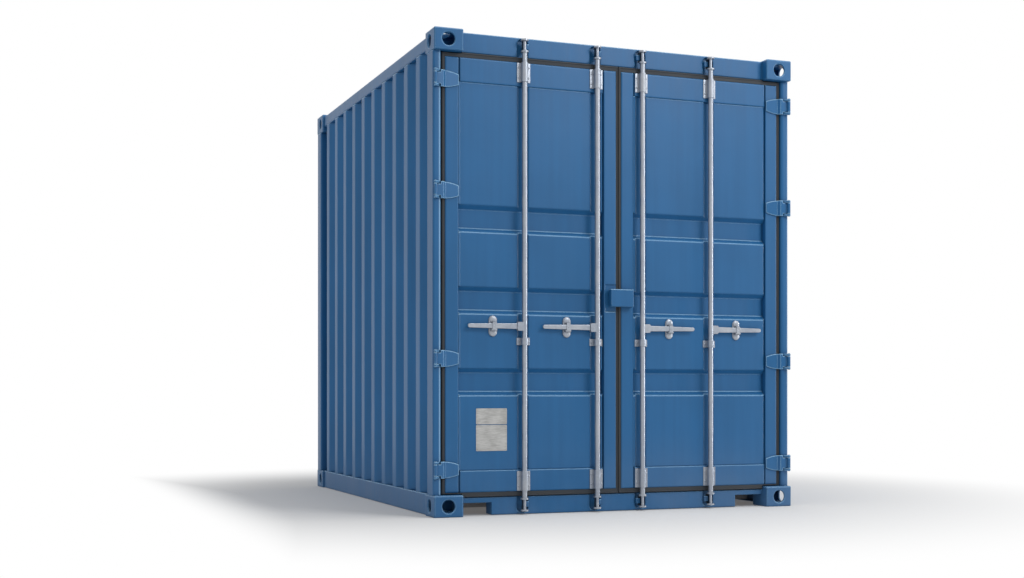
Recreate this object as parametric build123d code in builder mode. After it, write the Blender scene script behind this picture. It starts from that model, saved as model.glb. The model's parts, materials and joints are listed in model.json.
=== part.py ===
"""Ten-foot high-cube freight container with double end doors.

Millimetres. +Z is up, the doors face -Y, +X is to the right of someone facing the doors, and the
origin is on the ground under the middle of the container.
"""

import os

from build123d import *

os.makedirs("parts", exist_ok=True)

# Overall size
length = 2991.0
width = 2438.0
height = 2896.0

# Corner castings
casting_width = 182.0
casting_length = 178.0
casting_height = 130.0
casting_wall = 12.0
casting_plate = 28.0
casting_chamfer = 5.0
aperture_length = 124.0
aperture_width = 63.5
aperture_from_end = 102.0
aperture_from_side = 89.5
end_hole_diameter = 80.0
side_hole_height = 79.0
side_hole_width = 63.5
hole_chamfer = 4.0

# Clearances
moving_gap = 5.0
running_gap = 0.6
pin_gap = 0.1
hinge_gap = 3.0
rubber_gap = 3.0
seat_gap = 2.0

# Frame at the door end, set back from the faces of the castings
post_side_setback = 2.0
post_front_setback = 33.0
post_width = 54.0
post_depth = 119.5
post_wall = 6.0
post_round = 12.0
header_setback = 60.5
header_depth = 90.0
header_drop = 6.0
channel_wall = 8.0
threshold_rise = 20.0
sill_depth = 100.0
threshold_depth = 29.0
cutout_width = 199.0
cutout_height = 75.0
pocket_width = 72.0
pocket_depth = 24.0
pocket_wall = 5.0
pocket_margin = 8.0
pocket_round = 30.0

# Side rails, rear frame, floor and roof
base_lift = 3.0
side_setback = 14.0
rail_depth = 60.0
rail_wall = 5.0
rail_round = 8.0
top_rail_height = 78.0
top_rail_drop = 18.0
bottom_flange = 50.0
rear_post_width = 90.0
rear_post_depth = 110.0
rear_setback = 14.0
floor_thickness = 28.0
floor_gap = 5.0
member_count = 8
member_width = 46.0
member_height = 112.0
member_wall = 5.0
roof_sheet = 3.0
roof_trough_count = 9
roof_trough_width = 150.0
roof_trough_depth = 18.0
roof_trough_slope = 45.0
roof_margin = 95.0

# Corrugated walls
wall_sheet = 3.0
rib_crest = 80.0
rib_slope = 60.0
rib_depth = 36.0
side_rib_count = 10
side_front_margin = 219.0
side_rear_margin = 185.0
rear_rib_count = 8
rear_rib_margin = 171.0

# Doors
door_setback = 46.0
door_depth = 50.0
door_edge_gap = 25.0
door_middle_gap = 34.0
door_top_gap = 28.0
door_bottom_gap = 32.0
stile_width = 84.0
door_top_rail = 144.0
door_bottom_rail = 131.0
frame_round = 8.0
frame_chamfer = 3.0
seam_width = 10.0
seam_depth = 12.0
seam_slope = 6.0
panel_setback = 6.0
panel_sheet = 3.0
band_count = 3
band_pitch = 489.0
band_height = 166.0
band_slope = 28.0
band_depth = 36.0
band_middle_drop = 148.5
groove_width = 72.0
groove_depth = 12.0
groove_slope = 10.0
gasket_setback = 4.0
gasket_depth = 30.0
gasket_middle_lip = 15.0

# Hinges
pin_from_side = 10.5
pin_from_end = 10.5
pin_radius = 6.0
knuckle_radius = 10.0
hinge_height = 100.0
hinge_tip_height = 62.0
hinge_from_end = 138.0
hinge_pair_pitch = 661.0
blade_thickness = 8.0
lug_thickness = 14.0
lug_gap = 1.5
lug_root = 34.0

# Lock rods, cams and keepers
rod_radius = 16.0
rod_from_face = 21.0
rod_from_edge = 138.0
rod_bias = 67.0
cam_flange_radius = 24.0
cam_flange_height = 10.0
cam_neck_radius = 9.0
cam_neck_height = 60.0
hook_reach = 34.0
hook_arm_width = 10.0
hook_arm_lead = 4.0
top_cam_drop = 21.0
bottom_cam_lift = 22.0
keeper_height = 34.0
keeper_offset = 26.0
keeper_plate = 8.0
lip_from_rod = 18.5
lip_thickness = 6.0
bracket_sheet = 5.0
bracket_width = 86.0
bracket_height = 119.0
bracket_margin = 3.0
middle_bracket_height = 44.0
middle_bracket_z = 1048.0

# Handles
handle_z = 1139.0
handle_tip_gap = 51.0
handle_thickness = 14.0
handle_root_radius = 18.0
handle_tip_radius = 12.5
handle_pivot = 36.0
handle_pin_radius = 6.0
handle_side_gap = 0.5
cheek_thickness = 6.0
cheek_reach = 50.0
cheek_height = 53.0
cheek_round = 10.0
seat_from_tip = 168.0
seat_width = 52.0
seat_height = 126.0
seat_thickness = 6.0
shelf_width = 36.0
shelf_thickness = 10.0

# Lock box, which bridges the gap between the doors
lock_box_left = 71.0
lock_box_right = 84.0
lock_box_low = 1270.0
lock_box_height = 109.0
lock_box_depth = 44.0
lock_box_sheet = 4.0
lock_box_gap = 6.0
lock_pocket_depth = 5.0
lock_pocket_width = 75.0
lock_pocket_margin = 30.0

# Places worked out from the sizes above
half_length = length / 2
half_width = width / 2
casting_inner_x = half_width - casting_width
casting_inner_y = half_length - casting_length
casting_top_z = height - casting_height
side_x = half_width - side_setback
post_outer_x = half_width - post_side_setback
post_inner_x = post_outer_x - post_width
post_middle_x = (post_outer_x + post_inner_x) / 2
post_front_y = -half_length + post_front_setback
post_back_y = post_front_y + post_depth
header_y = -half_length + header_setback
header_top_z = height - header_drop
header_bottom_z = casting_top_z + moving_gap
sill_top_z = casting_height - threshold_rise
sill_height = sill_top_z - base_lift
rear_y = half_length - rear_setback
rear_post_front_y = half_length - post_side_setback - rear_post_depth
rear_post_inner_x = post_outer_x - rear_post_width
top_rail_top_z = height - top_rail_drop
top_rail_z = top_rail_top_z - top_rail_height
floor_z = casting_height
door_y = -half_length + door_setback
door_outer_x = post_inner_x - door_edge_gap
door_inner_x = door_middle_gap / 2
door_top_z = casting_top_z - door_top_gap
door_bottom_z = sill_top_z + door_bottom_gap
door_middle_z = (door_top_z + door_bottom_z) / 2
panel_y = door_y + panel_setback
panel_inner_x = door_inner_x + stile_width
panel_outer_x = door_outer_x - stile_width
panel_bottom_z = door_bottom_z + door_bottom_rail
panel_top_z = door_top_z - door_top_rail
pin_x = half_width - pin_from_side
pin_y = -half_length + pin_from_end
rod_y = door_y - rod_from_face
rod_top_z = height - top_cam_drop
cam_height = 2 * cam_flange_height + cam_neck_height
hinge_levels = [
    door_bottom_z + hinge_from_end,
    door_bottom_z + hinge_from_end + hinge_pair_pitch,
    door_top_z - hinge_from_end - hinge_pair_pitch,
    door_top_z - hinge_from_end,
]
inner_rod_x = door_inner_x + rod_from_edge
outer_rod_x = (inner_rod_x + panel_outer_x + rod_bias) / 2
handle_reach = panel_outer_x - outer_rod_x - handle_tip_gap
seat_offset = handle_reach - seat_from_tip


def save(part, name):
    """Label one finished node and write its STEP file."""
    part.label = name
    export_step(part, f"parts/{name}.step")


def save_both(left, name):
    """Write the left-hand piece and its mirror image on the right."""
    save(left.part, f"left_{name}")
    with BuildPart() as right:
        mirror(left.part, about=Plane.YZ)
    save(right.part, f"right_{name}")


def corner_blocks(low_z, high_z):
    """Four blocks where the corner castings stand, between two heights, to clear a sheet of them."""
    with BuildPart() as blocks:
        with Locations((0, 0, (low_z + high_z) / 2)):
            with GridLocations(width - casting_width, length - casting_length, 2, 2):
                Box(casting_width, casting_length, high_z - low_z)
    return blocks.part


# Bottom corner castings: hollow blocks with a twist-lock slot, an end hole and a side hole
with BuildPart() as bottom_corner_castings:
    with Locations((-half_width + casting_width / 2, -half_length + casting_length / 2, casting_height / 2)):
        Box(casting_width, casting_length, casting_height)
        chamfer(bottom_corner_castings.edges(), casting_chamfer)
        Box(
            casting_width - 2 * casting_wall,
            casting_length - 2 * casting_wall,
            casting_height - 2 * casting_plate,
            mode=Mode.SUBTRACT,
        )
    with BuildSketch(Plane.XY):
        with Locations((-half_width + aperture_from_side, -half_length + aperture_from_end)):
            SlotOverall(aperture_length, aperture_width, rotation=90)
    extrude(amount=casting_plate, mode=Mode.SUBTRACT)
    with BuildSketch(Plane.XZ.offset(half_length)):
        with Locations((-half_width + aperture_from_side, casting_height / 2)):
            Circle(end_hole_diameter / 2)
    extrude(amount=-casting_wall, mode=Mode.SUBTRACT)
    with BuildSketch(Plane.XZ.offset(half_length)):
        with Locations((-half_width + aperture_from_side, casting_height / 2)):
            Circle(end_hole_diameter / 2 + hole_chamfer)
    extrude(amount=-hole_chamfer, taper=45, mode=Mode.SUBTRACT)
    with BuildSketch(Plane.YZ.offset(-half_width)):
        with Locations((-half_length + aperture_from_end, casting_height / 2)):
            SlotOverall(side_hole_height, side_hole_width, rotation=90)
    extrude(amount=casting_wall, mode=Mode.SUBTRACT)
    with BuildSketch(Plane.YZ.offset(-half_width)):
        with Locations((-half_length + aperture_from_end, casting_height / 2)):
            SlotOverall(side_hole_height + 2 * hole_chamfer, side_hole_width + 2 * hole_chamfer, rotation=90)
    extrude(amount=hole_chamfer, taper=45, mode=Mode.SUBTRACT)
    mirror(about=Plane.YZ)
    mirror(about=Plane.XZ)
save(bottom_corner_castings.part, "bottom_corner_castings")

with BuildPart() as top_corner_castings:
    mirror(bottom_corner_castings.part, about=Plane.XY.offset(height / 2))
save(top_corner_castings.part, "top_corner_castings")

# Door posts: rounded box sections that stand on the castings
with BuildPart() as door_post:
    with BuildSketch(Plane.XY.offset(casting_height)):
        with Locations((-post_middle_x, (post_front_y + post_back_y) / 2)):
            RectangleRounded(post_width, post_depth, post_round)
            RectangleRounded(
                post_width - 2 * post_wall,
                post_depth - 2 * post_wall,
                post_round - post_wall,
                mode=Mode.SUBTRACT,
            )
    extrude(amount=casting_top_z - casting_height)
save_both(door_post, "door_post")

# Rear posts: the same section, wider
with BuildPart() as rear_post:
    with BuildSketch(Plane.XY.offset(casting_height)):
        with Locations((-(post_outer_x + rear_post_inner_x) / 2, rear_post_front_y + rear_post_depth / 2)):
            RectangleRounded(rear_post_width, rear_post_depth, post_round)
            RectangleRounded(
                rear_post_width - 2 * post_wall,
                rear_post_depth - 2 * post_wall,
                post_round - post_wall,
                mode=Mode.SUBTRACT,
            )
    extrude(amount=casting_top_z - casting_height)
save_both(rear_post, "rear_post")

rod_places = (-outer_rod_x, -inner_rod_x, inner_rod_x, outer_rod_x)


def pocket_linings(mouth_z, crown_z):
    """Blocks behind the web that carry the cam pockets, open at mouth_z and crowned at crown_z."""
    reach = 1 if crown_z > mouth_z else -1
    lining_depth = pocket_depth + pocket_wall - channel_wall
    lining_height = abs(crown_z - mouth_z) + pocket_wall
    with BuildPart() as linings:
        with Locations(
            *[
                (x, header_y + channel_wall + lining_depth / 2, mouth_z + reach * lining_height / 2)
                for x in rod_places
            ]
        ):
            Box(pocket_width + 2 * pocket_wall, lining_depth, lining_height)
    return linings.part


def pocket_voids(mouth_z, crown_z):
    """Round-ended pockets that leave room for the cams to turn."""
    reach = 1 if crown_z > mouth_z else -1
    start_z = mouth_z - reach * pocket_round
    with BuildPart() as voids:
        with BuildSketch(Plane.XZ.offset(-header_y)):
            with Locations(*[(x, (start_z + crown_z) / 2) for x in rod_places]):
                RectangleRounded(pocket_width, abs(crown_z - start_z), pocket_round)
        extrude(amount=-pocket_depth)
    return voids.part


# Door header: a channel between the top castings, pocketed behind the cams
with BuildPart() as door_header:
    with BuildSketch(Plane.YZ):
        with Locations((header_y + header_depth / 2, (header_bottom_z + header_top_z) / 2)):
            Rectangle(header_depth, header_top_z - header_bottom_z)
        with Locations((header_y + channel_wall + header_depth / 2, (header_bottom_z + header_top_z) / 2)):
            Rectangle(header_depth, header_top_z - header_bottom_z - 2 * channel_wall, mode=Mode.SUBTRACT)
    extrude(amount=casting_inner_x, both=True)
    add(pocket_linings(header_bottom_z, header_top_z - pocket_margin))
    add(pocket_voids(header_bottom_z, header_top_z - pocket_margin), mode=Mode.SUBTRACT)
save(door_header.part, "door_header")

# Door sill: a channel with a threshold bar, a cut-out beside each casting, and cam pockets
with BuildPart() as door_sill:
    with BuildSketch(Plane.YZ):
        with Locations((header_y + sill_depth / 2, base_lift + sill_height / 2)):
            Rectangle(sill_depth, sill_height)
        with Locations((header_y + channel_wall + sill_depth / 2, base_lift + sill_height / 2)):
            Rectangle(sill_depth, sill_height - 2 * channel_wall, mode=Mode.SUBTRACT)
        with Locations((header_y + sill_depth - threshold_depth / 2, (sill_top_z + floor_z) / 2)):
            Rectangle(threshold_depth, floor_z - sill_top_z)
    extrude(amount=casting_inner_x, both=True)
    for side in (-1, 1):
        with Locations(
            (
                side * (casting_inner_x - cutout_width - channel_wall / 2),
                header_y + sill_depth / 2,
                base_lift + sill_height / 2,
            )
        ):
            Box(channel_wall, sill_depth, sill_height)
        with Locations(
            (
                side * (casting_inner_x - cutout_width / 2),
                header_y + sill_depth / 2,
                base_lift + cutout_height / 2,
            )
        ):
            Box(cutout_width, sill_depth, cutout_height, mode=Mode.SUBTRACT)
    add(pocket_linings(sill_top_z, base_lift + pocket_margin))
    add(pocket_voids(sill_top_z, base_lift + pocket_margin), mode=Mode.SUBTRACT)
save(door_sill.part, "door_sill")

# Top side rails: rounded tubes from casting to casting
with BuildPart() as top_rail:
    with BuildSketch(Plane.XZ.offset(-casting_inner_y)):
        with Locations((-side_x + rail_depth / 2, top_rail_z + top_rail_height / 2)):
            RectangleRounded(rail_depth, top_rail_height, rail_round)
            RectangleRounded(
                rail_depth - 2 * rail_wall,
                top_rail_height - 2 * rail_wall,
                rail_round - rail_wall,
                mode=Mode.SUBTRACT,
            )
    extrude(amount=2 * casting_inner_y)
save_both(top_rail, "top_rail")

# Bottom side rails: channels that open inwards, with their top flange under the floor
with BuildPart() as bottom_rail:
    with BuildSketch(Plane.XZ.offset(-casting_inner_y)):
        with Locations((-side_x + bottom_flange / 2, (base_lift + floor_z) / 2)):
            Rectangle(bottom_flange, floor_z - base_lift)
        with Locations((-side_x + rail_wall + bottom_flange / 2, (base_lift + floor_z) / 2)):
            Rectangle(bottom_flange, floor_z - base_lift - 2 * rail_wall, mode=Mode.SUBTRACT)
    extrude(amount=2 * casting_inner_y)
save_both(bottom_rail, "bottom_rail")

# Rear rails between the rear castings
with BuildPart() as rear_top_rail:
    with BuildSketch(Plane.YZ):
        with Locations((rear_y - rail_depth / 2, top_rail_z + top_rail_height / 2)):
            RectangleRounded(rail_depth, top_rail_height, rail_round)
            RectangleRounded(
                rail_depth - 2 * rail_wall,
                top_rail_height - 2 * rail_wall,
                rail_round - rail_wall,
                mode=Mode.SUBTRACT,
            )
    extrude(amount=casting_inner_x, both=True)
save(rear_top_rail.part, "rear_top_rail")

with BuildPart() as rear_bottom_rail:
    with BuildSketch(Plane.YZ):
        with Locations((rear_y - bottom_flange / 2, (base_lift + floor_z) / 2)):
            Rectangle(bottom_flange, floor_z - base_lift)
        with Locations((rear_y - rail_wall - bottom_flange / 2, (base_lift + floor_z) / 2)):
            Rectangle(bottom_flange, floor_z - base_lift - 2 * rail_wall, mode=Mode.SUBTRACT)
    extrude(amount=casting_inner_x, both=True)
save(rear_bottom_rail.part, "rear_bottom_rail")


def rib_profile(start, stop, first, last, count):
    """Closed outline of a corrugated sheet, as (along, outwards) pairs with the crests at zero."""
    pitch = (last - first) / (count - 1)
    skin = [(start, -rib_depth)]
    for index in range(count):
        middle = first + index * pitch
        skin.append((middle - rib_crest / 2 - rib_slope, -rib_depth))
        skin.append((middle - rib_crest / 2, 0))
        skin.append((middle + rib_crest / 2, 0))
        skin.append((middle + rib_crest / 2 + rib_slope, -rib_depth))
    skin.append((stop, -rib_depth))
    return skin + [(along, outwards - wall_sheet) for along, outwards in reversed(skin)]


# Side walls: one corrugated sheet each, between the posts and the rails
with BuildPart() as wall:
    with BuildSketch(Plane.XY.offset(floor_z)):
        with BuildLine():
            Polyline(
                *[
                    (-side_x - outwards, along)
                    for along, outwards in rib_profile(
                        post_back_y,
                        rear_post_front_y,
                        post_back_y + side_front_margin,
                        rear_post_front_y - side_rear_margin,
                        side_rib_count,
                    )
                ],
                close=True,
            )
        make_face()
    extrude(amount=top_rail_z - floor_z)
    add(corner_blocks(casting_top_z, height), mode=Mode.SUBTRACT)
save_both(wall, "wall")

# Rear wall: the same corrugation across the blind end
with BuildPart() as rear_wall:
    with BuildSketch(Plane.XY.offset(floor_z)):
        with BuildLine():
            Polyline(
                *[
                    (along, rear_y + outwards)
                    for along, outwards in rib_profile(
                        -rear_post_inner_x,
                        rear_post_inner_x,
                        -rear_post_inner_x + rear_rib_margin,
                        rear_post_inner_x - rear_rib_margin,
                        rear_rib_count,
                    )
                ],
                close=True,
            )
        make_face()
    extrude(amount=top_rail_z - floor_z)
    add(corner_blocks(casting_top_z, height), mode=Mode.SUBTRACT)
save(rear_wall.part, "rear_wall")

# Roof: a flat sheet on the rails with troughs pressed across it
roof_front_y = header_y + header_depth
roof_rear_y = rear_y - rail_round
roof_half_width = side_x - rail_round
trough_pitch = (roof_rear_y - roof_front_y - 2 * roof_margin - roof_trough_width) / (roof_trough_count - 1)
trough_start_y = roof_front_y + roof_margin + roof_trough_width / 2
with BuildPart() as roof_panel:
    with Locations((0, (roof_front_y + roof_rear_y) / 2, top_rail_top_z + roof_sheet - roof_trough_depth)):
        Box(2 * roof_half_width, roof_rear_y - roof_front_y, 2 * roof_trough_depth)
    with BuildSketch(Plane.XY.offset(top_rail_top_z + roof_sheet)):
        with Locations(*[(0, trough_start_y + index * trough_pitch) for index in range(roof_trough_count)]):
            Rectangle(2 * (side_x - rail_depth - roof_margin), roof_trough_width)
    extrude(amount=-roof_trough_depth, taper=roof_trough_slope, mode=Mode.SUBTRACT)
    add(roof_panel.part.moved(Location((0, 0, -roof_sheet))), mode=Mode.SUBTRACT)
    add(corner_blocks(casting_top_z, height), mode=Mode.SUBTRACT)
save(roof_panel.part, "roof_panel")

# Cross members: channels under the floor between the bottom rails
member_half_length = side_x - bottom_flange
member_front_y = header_y + sill_depth
member_rear_y = rear_y - bottom_flange
member_pitch = (member_rear_y - member_front_y) / (member_count + 1)
with BuildPart() as cross_members:
    for index in range(member_count):
        middle_y = member_front_y + (index + 1) * member_pitch
        with BuildSketch(Plane.YZ):
            with Locations((middle_y, floor_z - member_height / 2)):
                Rectangle(member_width, member_height)
            with Locations((middle_y + member_wall, floor_z - member_height / 2)):
                Rectangle(member_width, member_height - 2 * member_wall, mode=Mode.SUBTRACT)
        extrude(amount=member_half_length, both=True)
save(cross_members.part, "cross_members")

# Floor: plywood on the cross members and the rail flanges
floor_front_y = header_y + sill_depth - threshold_depth
floor_rear_y = rear_y - rib_depth - wall_sheet
floor_half_width = side_x - rib_depth - wall_sheet - floor_gap
with BuildPart() as floor_boards:
    with Locations((0, (floor_front_y + floor_rear_y) / 2, floor_z + floor_thickness / 2)):
        Box(2 * floor_half_width, floor_rear_y - floor_front_y, floor_thickness)
    with Locations(
        *[
            (side * (rear_post_inner_x + rear_post_width / 2), floor_rear_y, floor_z + floor_thickness / 2)
            for side in (-1, 1)
        ]
    ):
        Box(
            rear_post_width,
            2 * (floor_rear_y - rear_post_front_y),
            floor_thickness,
            mode=Mode.SUBTRACT,
        )
save(floor_boards.part, "floor_boards")

# Hinge lugs: two plates and a pin at each hinge, shaped to the post and welded to it
knuckle_height = hinge_height - 2 * (lug_thickness + lug_gap)
with BuildPart() as hinge_lugs:
    for level in hinge_levels:
        for low_z in (level - hinge_height / 2, level + hinge_height / 2 - lug_thickness):
            with BuildSketch(Plane.XY.offset(low_z)):
                with Locations((-pin_x, pin_y)):
                    Circle(knuckle_radius)
                with Locations((-post_middle_x, post_front_y + post_round / 2)):
                    Rectangle(lug_root, post_round)
                make_hull()
                with Locations((-post_middle_x, (post_front_y + post_back_y) / 2)):
                    RectangleRounded(post_width, post_depth, post_round, mode=Mode.SUBTRACT)
            extrude(amount=lug_thickness)
        with Locations((-pin_x, pin_y, level)):
            Cylinder(pin_radius, knuckle_height + 2 * lug_gap)
save_both(hinge_lugs, "hinge_lugs")

# Keepers: plates welded into the pockets, each with a lip in front of a cam's hook
hook_direction = {x: 1 if x < 0 else -1 for x in rod_places}
lip_start = hook_arm_lead + seat_gap


def keepers(middle_z):
    """Four keepers at one height, for the cams of the four rods."""
    lip_y = rod_y + lip_from_rod
    with BuildPart() as row:
        for x in rod_places:
            side = hook_direction[x]
            with BuildSketch(Plane.XY.offset(middle_z - keeper_height / 2)):
                with BuildLine():
                    Polyline(
                        (x + side * lip_start, lip_y),
                        (x + side * (keeper_offset + keeper_plate), lip_y),
                        (x + side * (keeper_offset + keeper_plate), header_y + pocket_depth),
                        (x + side * keeper_offset, header_y + pocket_depth),
                        (x + side * keeper_offset, lip_y + lip_thickness),
                        (x + side * lip_start, lip_y + lip_thickness),
                        close=True,
                    )
                make_face()
            extrude(amount=keeper_height)
    return row.part


save(keepers(rod_top_z - cam_height / 2), "top_keepers")
save(keepers(bottom_cam_lift + cam_height / 2), "bottom_keepers")


def door_frame(side):
    """Stiles and rails of one door, with a seam beside each stile; the left one has a lock box recess."""
    with BuildPart() as frame:
        with BuildSketch(Plane.XZ.offset(-door_y)):
            with Locations((side * (door_inner_x + door_outer_x) / 2, door_middle_z)):
                Rectangle(door_outer_x - door_inner_x, door_top_z - door_bottom_z)
            with Locations((side * (panel_inner_x + panel_outer_x) / 2, (panel_top_z + panel_bottom_z) / 2)):
                Rectangle(panel_outer_x - panel_inner_x, panel_top_z - panel_bottom_z, mode=Mode.SUBTRACT)
        extrude(amount=-door_depth)
        front = frame.faces().sort_by(Axis.Y)[0]
        fillet(front.outer_wire().edges(), frame_round)
        front = frame.faces().sort_by(Axis.Y)[0]
        chamfer(front.inner_wires()[0].edges(), frame_chamfer)
        for seam_x in (panel_inner_x + seam_width / 2, panel_outer_x - seam_width / 2):
            for low_z, high_z in ((door_bottom_z, panel_bottom_z), (panel_top_z, door_top_z)):
                with Locations((side * seam_x, door_y + seam_depth / 2, (low_z + high_z) / 2)):
                    Box(seam_width, seam_depth, high_z - low_z, mode=Mode.SUBTRACT)
        if side < 0:
            with Locations(
                (
                    side * (door_inner_x + lock_pocket_width / 2),
                    door_y + lock_pocket_depth / 2,
                    lock_box_low + lock_box_height / 2,
                )
            ):
                Box(
                    lock_pocket_width,
                    lock_pocket_depth,
                    lock_box_height + 2 * lock_pocket_margin,
                    mode=Mode.SUBTRACT,
                )
    return frame.part


save(door_frame(-1), "left_door_frame")
save(door_frame(1), "right_door_frame")

# Door panels: pressed sheet with deep bands, a shallow groove behind each rod, and a seam at each stile
panel_width = panel_outer_x - panel_inner_x
panel_height = panel_top_z - panel_bottom_z
band_middle_z = door_middle_z - band_middle_drop
with BuildPart() as door_panel:
    with Locations(
        (
            -(panel_inner_x + panel_outer_x) / 2,
            panel_y + door_depth / 2,
            (panel_bottom_z + panel_top_z) / 2,
        )
    ):
        Box(panel_width, door_depth, panel_height)
    for x in (-outer_rod_x, -inner_rod_x):
        with BuildSketch(Plane.XY.offset(panel_bottom_z)):
            with BuildLine():
                Polyline(
                    (x - groove_width / 2, panel_y),
                    (x + groove_width / 2, panel_y),
                    (x + groove_width / 2 - groove_slope, panel_y + groove_depth),
                    (x - groove_width / 2 + groove_slope, panel_y + groove_depth),
                    close=True,
                )
            make_face()
        extrude(amount=panel_height, mode=Mode.SUBTRACT)
    for edge, inwards in ((-panel_outer_x, 1), (-panel_inner_x, -1)):
        with BuildSketch(Plane.XY.offset(panel_bottom_z)):
            with BuildLine():
                Polyline(
                    (edge, panel_y),
                    (edge + inwards * seam_width, panel_y),
                    (edge + inwards * (seam_width - seam_slope), panel_y + seam_depth),
                    (edge, panel_y + seam_depth),
                    close=True,
                )
            make_face()
        extrude(amount=panel_height, mode=Mode.SUBTRACT)
    for index in range(band_count):
        middle_z = band_middle_z + (index - (band_count - 1) / 2) * band_pitch
        with BuildSketch(Plane.YZ.offset(-panel_outer_x)):
            with BuildLine():
                Polyline(
                    (panel_y, middle_z - band_height / 2),
                    (panel_y, middle_z + band_height / 2),
                    (panel_y + band_depth, middle_z + band_height / 2 - band_slope),
                    (panel_y + band_depth, middle_z - band_height / 2 + band_slope),
                    close=True,
                )
            make_face()
        extrude(amount=panel_width, mode=Mode.SUBTRACT)
    add(door_panel.part.moved(Location((0, panel_sheet, 0))), mode=Mode.SUBTRACT)
save_both(door_panel, "door_panel")

# Door gaskets: rubber frames round the doors, stepped to pass the castings
gasket_outer_x = post_inner_x - moving_gap
gasket_step_x = casting_inner_x - moving_gap
gasket_top_z = header_bottom_z - rubber_gap
gasket_bottom_z = sill_top_z + rubber_gap
with BuildPart() as door_gasket:
    with BuildSketch(Plane.XZ.offset(-(door_y + gasket_setback))):
        with BuildLine():
            Polyline(
                (-gasket_outer_x, casting_height + moving_gap),
                (-gasket_outer_x, casting_top_z - moving_gap),
                (-gasket_step_x, casting_top_z - moving_gap),
                (-gasket_step_x, gasket_top_z),
                (-door_inner_x + gasket_middle_lip, gasket_top_z),
                (-door_inner_x + gasket_middle_lip, gasket_bottom_z),
                (-gasket_step_x, gasket_bottom_z),
                (-gasket_step_x, casting_height + moving_gap),
                close=True,
            )
        make_face()
        with Locations((-(door_inner_x + door_outer_x) / 2, door_middle_z)):
            Rectangle(door_outer_x - door_inner_x, door_top_z - door_bottom_z, mode=Mode.SUBTRACT)
    extrude(amount=-gasket_depth)
save_both(door_gasket, "door_gasket")

# Hinge blades: a cranked forging from the pin to the stile, tapered towards its tip
blade_front = post_outer_x - pin_x + hinge_gap
blade_back = blade_front + blade_thickness
blade_seat = door_y - pin_y
blade_tip = pin_x - panel_outer_x
blade_bend = pin_x - post_inner_x + moving_gap
blade_notch = pin_x - post_middle_x + lug_root / 2 + seat_gap
crank = blade_seat - blade_back
with BuildPart() as hinge_blade:
    with BuildSketch(Plane.XY.offset(-hinge_height / 2)):
        with BuildLine():
            Polyline(
                (-pin_x - knuckle_radius / 2, pin_y + knuckle_radius / 2),
                (-pin_x, pin_y + blade_back),
                (-pin_x + blade_bend, pin_y + blade_back),
                (-pin_x + blade_bend + crank, pin_y + blade_seat),
                (-pin_x + blade_tip, pin_y + blade_seat),
                (-pin_x + blade_tip, pin_y + blade_seat - blade_thickness),
                (-pin_x + blade_bend + crank + blade_thickness / 2, pin_y + blade_seat - blade_thickness),
                (-pin_x + blade_bend + blade_thickness / 2, pin_y + blade_front),
                (-pin_x + knuckle_radius, pin_y + blade_front),
                (-pin_x + knuckle_radius / 2, pin_y - knuckle_radius / 2),
                close=True,
            )
        make_face()
        with Locations((-pin_x, pin_y)):
            Circle(knuckle_radius)
            Circle(pin_radius + pin_gap, mode=Mode.SUBTRACT)
    extrude(amount=hinge_height)
    with BuildSketch(Plane.XZ.offset(-door_y)):
        with BuildLine():
            Line(
                (-pin_x - knuckle_radius, -hinge_height / 2),
                (-pin_x - knuckle_radius, hinge_height / 2),
            )
            Line(
                (-pin_x - knuckle_radius, hinge_height / 2),
                (-pin_x + blade_bend, hinge_height / 2),
            )
            upper = TangentArc(
                (-pin_x + blade_bend, hinge_height / 2),
                (-pin_x + blade_tip, hinge_tip_height / 2),
                tangent=(1, 0),
            )
            Line(upper @ 1, (-pin_x + blade_tip, -hinge_tip_height / 2))
            lower = TangentArc(
                (-pin_x + blade_bend, -hinge_height / 2),
                (-pin_x + blade_tip, -hinge_tip_height / 2),
                tangent=(1, 0),
            )
            Line(lower @ 0, (-pin_x - knuckle_radius, -hinge_height / 2))
        make_face()
    extrude(amount=2 * door_setback, both=True, mode=Mode.INTERSECT)
    for end in (-1, 1):
        with Locations((-pin_x, pin_y, end * (knuckle_height + hinge_height) / 4)):
            Box(2 * blade_notch, 2 * blade_notch, (hinge_height - knuckle_height) / 2, mode=Mode.SUBTRACT)

with BuildPart() as hinge_blades:
    for level in hinge_levels:
        add(hinge_blade.part.moved(Location((0, 0, level))))
save_both(hinge_blades, "hinge_blades")

# Rod brackets: bent straps over each rod, at the top, the bottom and below the handle
hump_inner = rod_radius + running_gap
hump_outer = hump_inner + bracket_sheet


def bracket(x, seat_y, low_z, tall):
    """One strap bracket round the rod at x, standing on a face at seat_y."""
    rise = seat_y - rod_y
    with BuildPart() as strap:
        with BuildSketch(Plane.XY.offset(low_z)):
            with Locations((x, rod_y)):
                Circle(hump_outer)
            with Locations((x, rod_y + rise / 2)):
                Rectangle(2 * hump_outer, rise)
            with Locations((x, seat_y - bracket_sheet / 2)):
                Rectangle(bracket_width, bracket_sheet)
            with Locations((x, rod_y)):
                Circle(hump_inner, mode=Mode.SUBTRACT)
            with Locations((x, seat_y)):
                Rectangle(2 * hump_inner, 2 * rise, mode=Mode.SUBTRACT)
        extrude(amount=tall)
    return strap.part


with BuildPart() as rod_brackets:
    for x in (-outer_rod_x, -inner_rod_x):
        add(bracket(x, door_y, door_top_z - bracket_margin - bracket_height, bracket_height))
        add(bracket(x, door_y, door_bottom_z + bracket_margin, bracket_height))
        add(bracket(x, panel_y, middle_bracket_z - middle_bracket_height / 2, middle_bracket_height))
save_both(rod_brackets, "rod_brackets")

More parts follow.
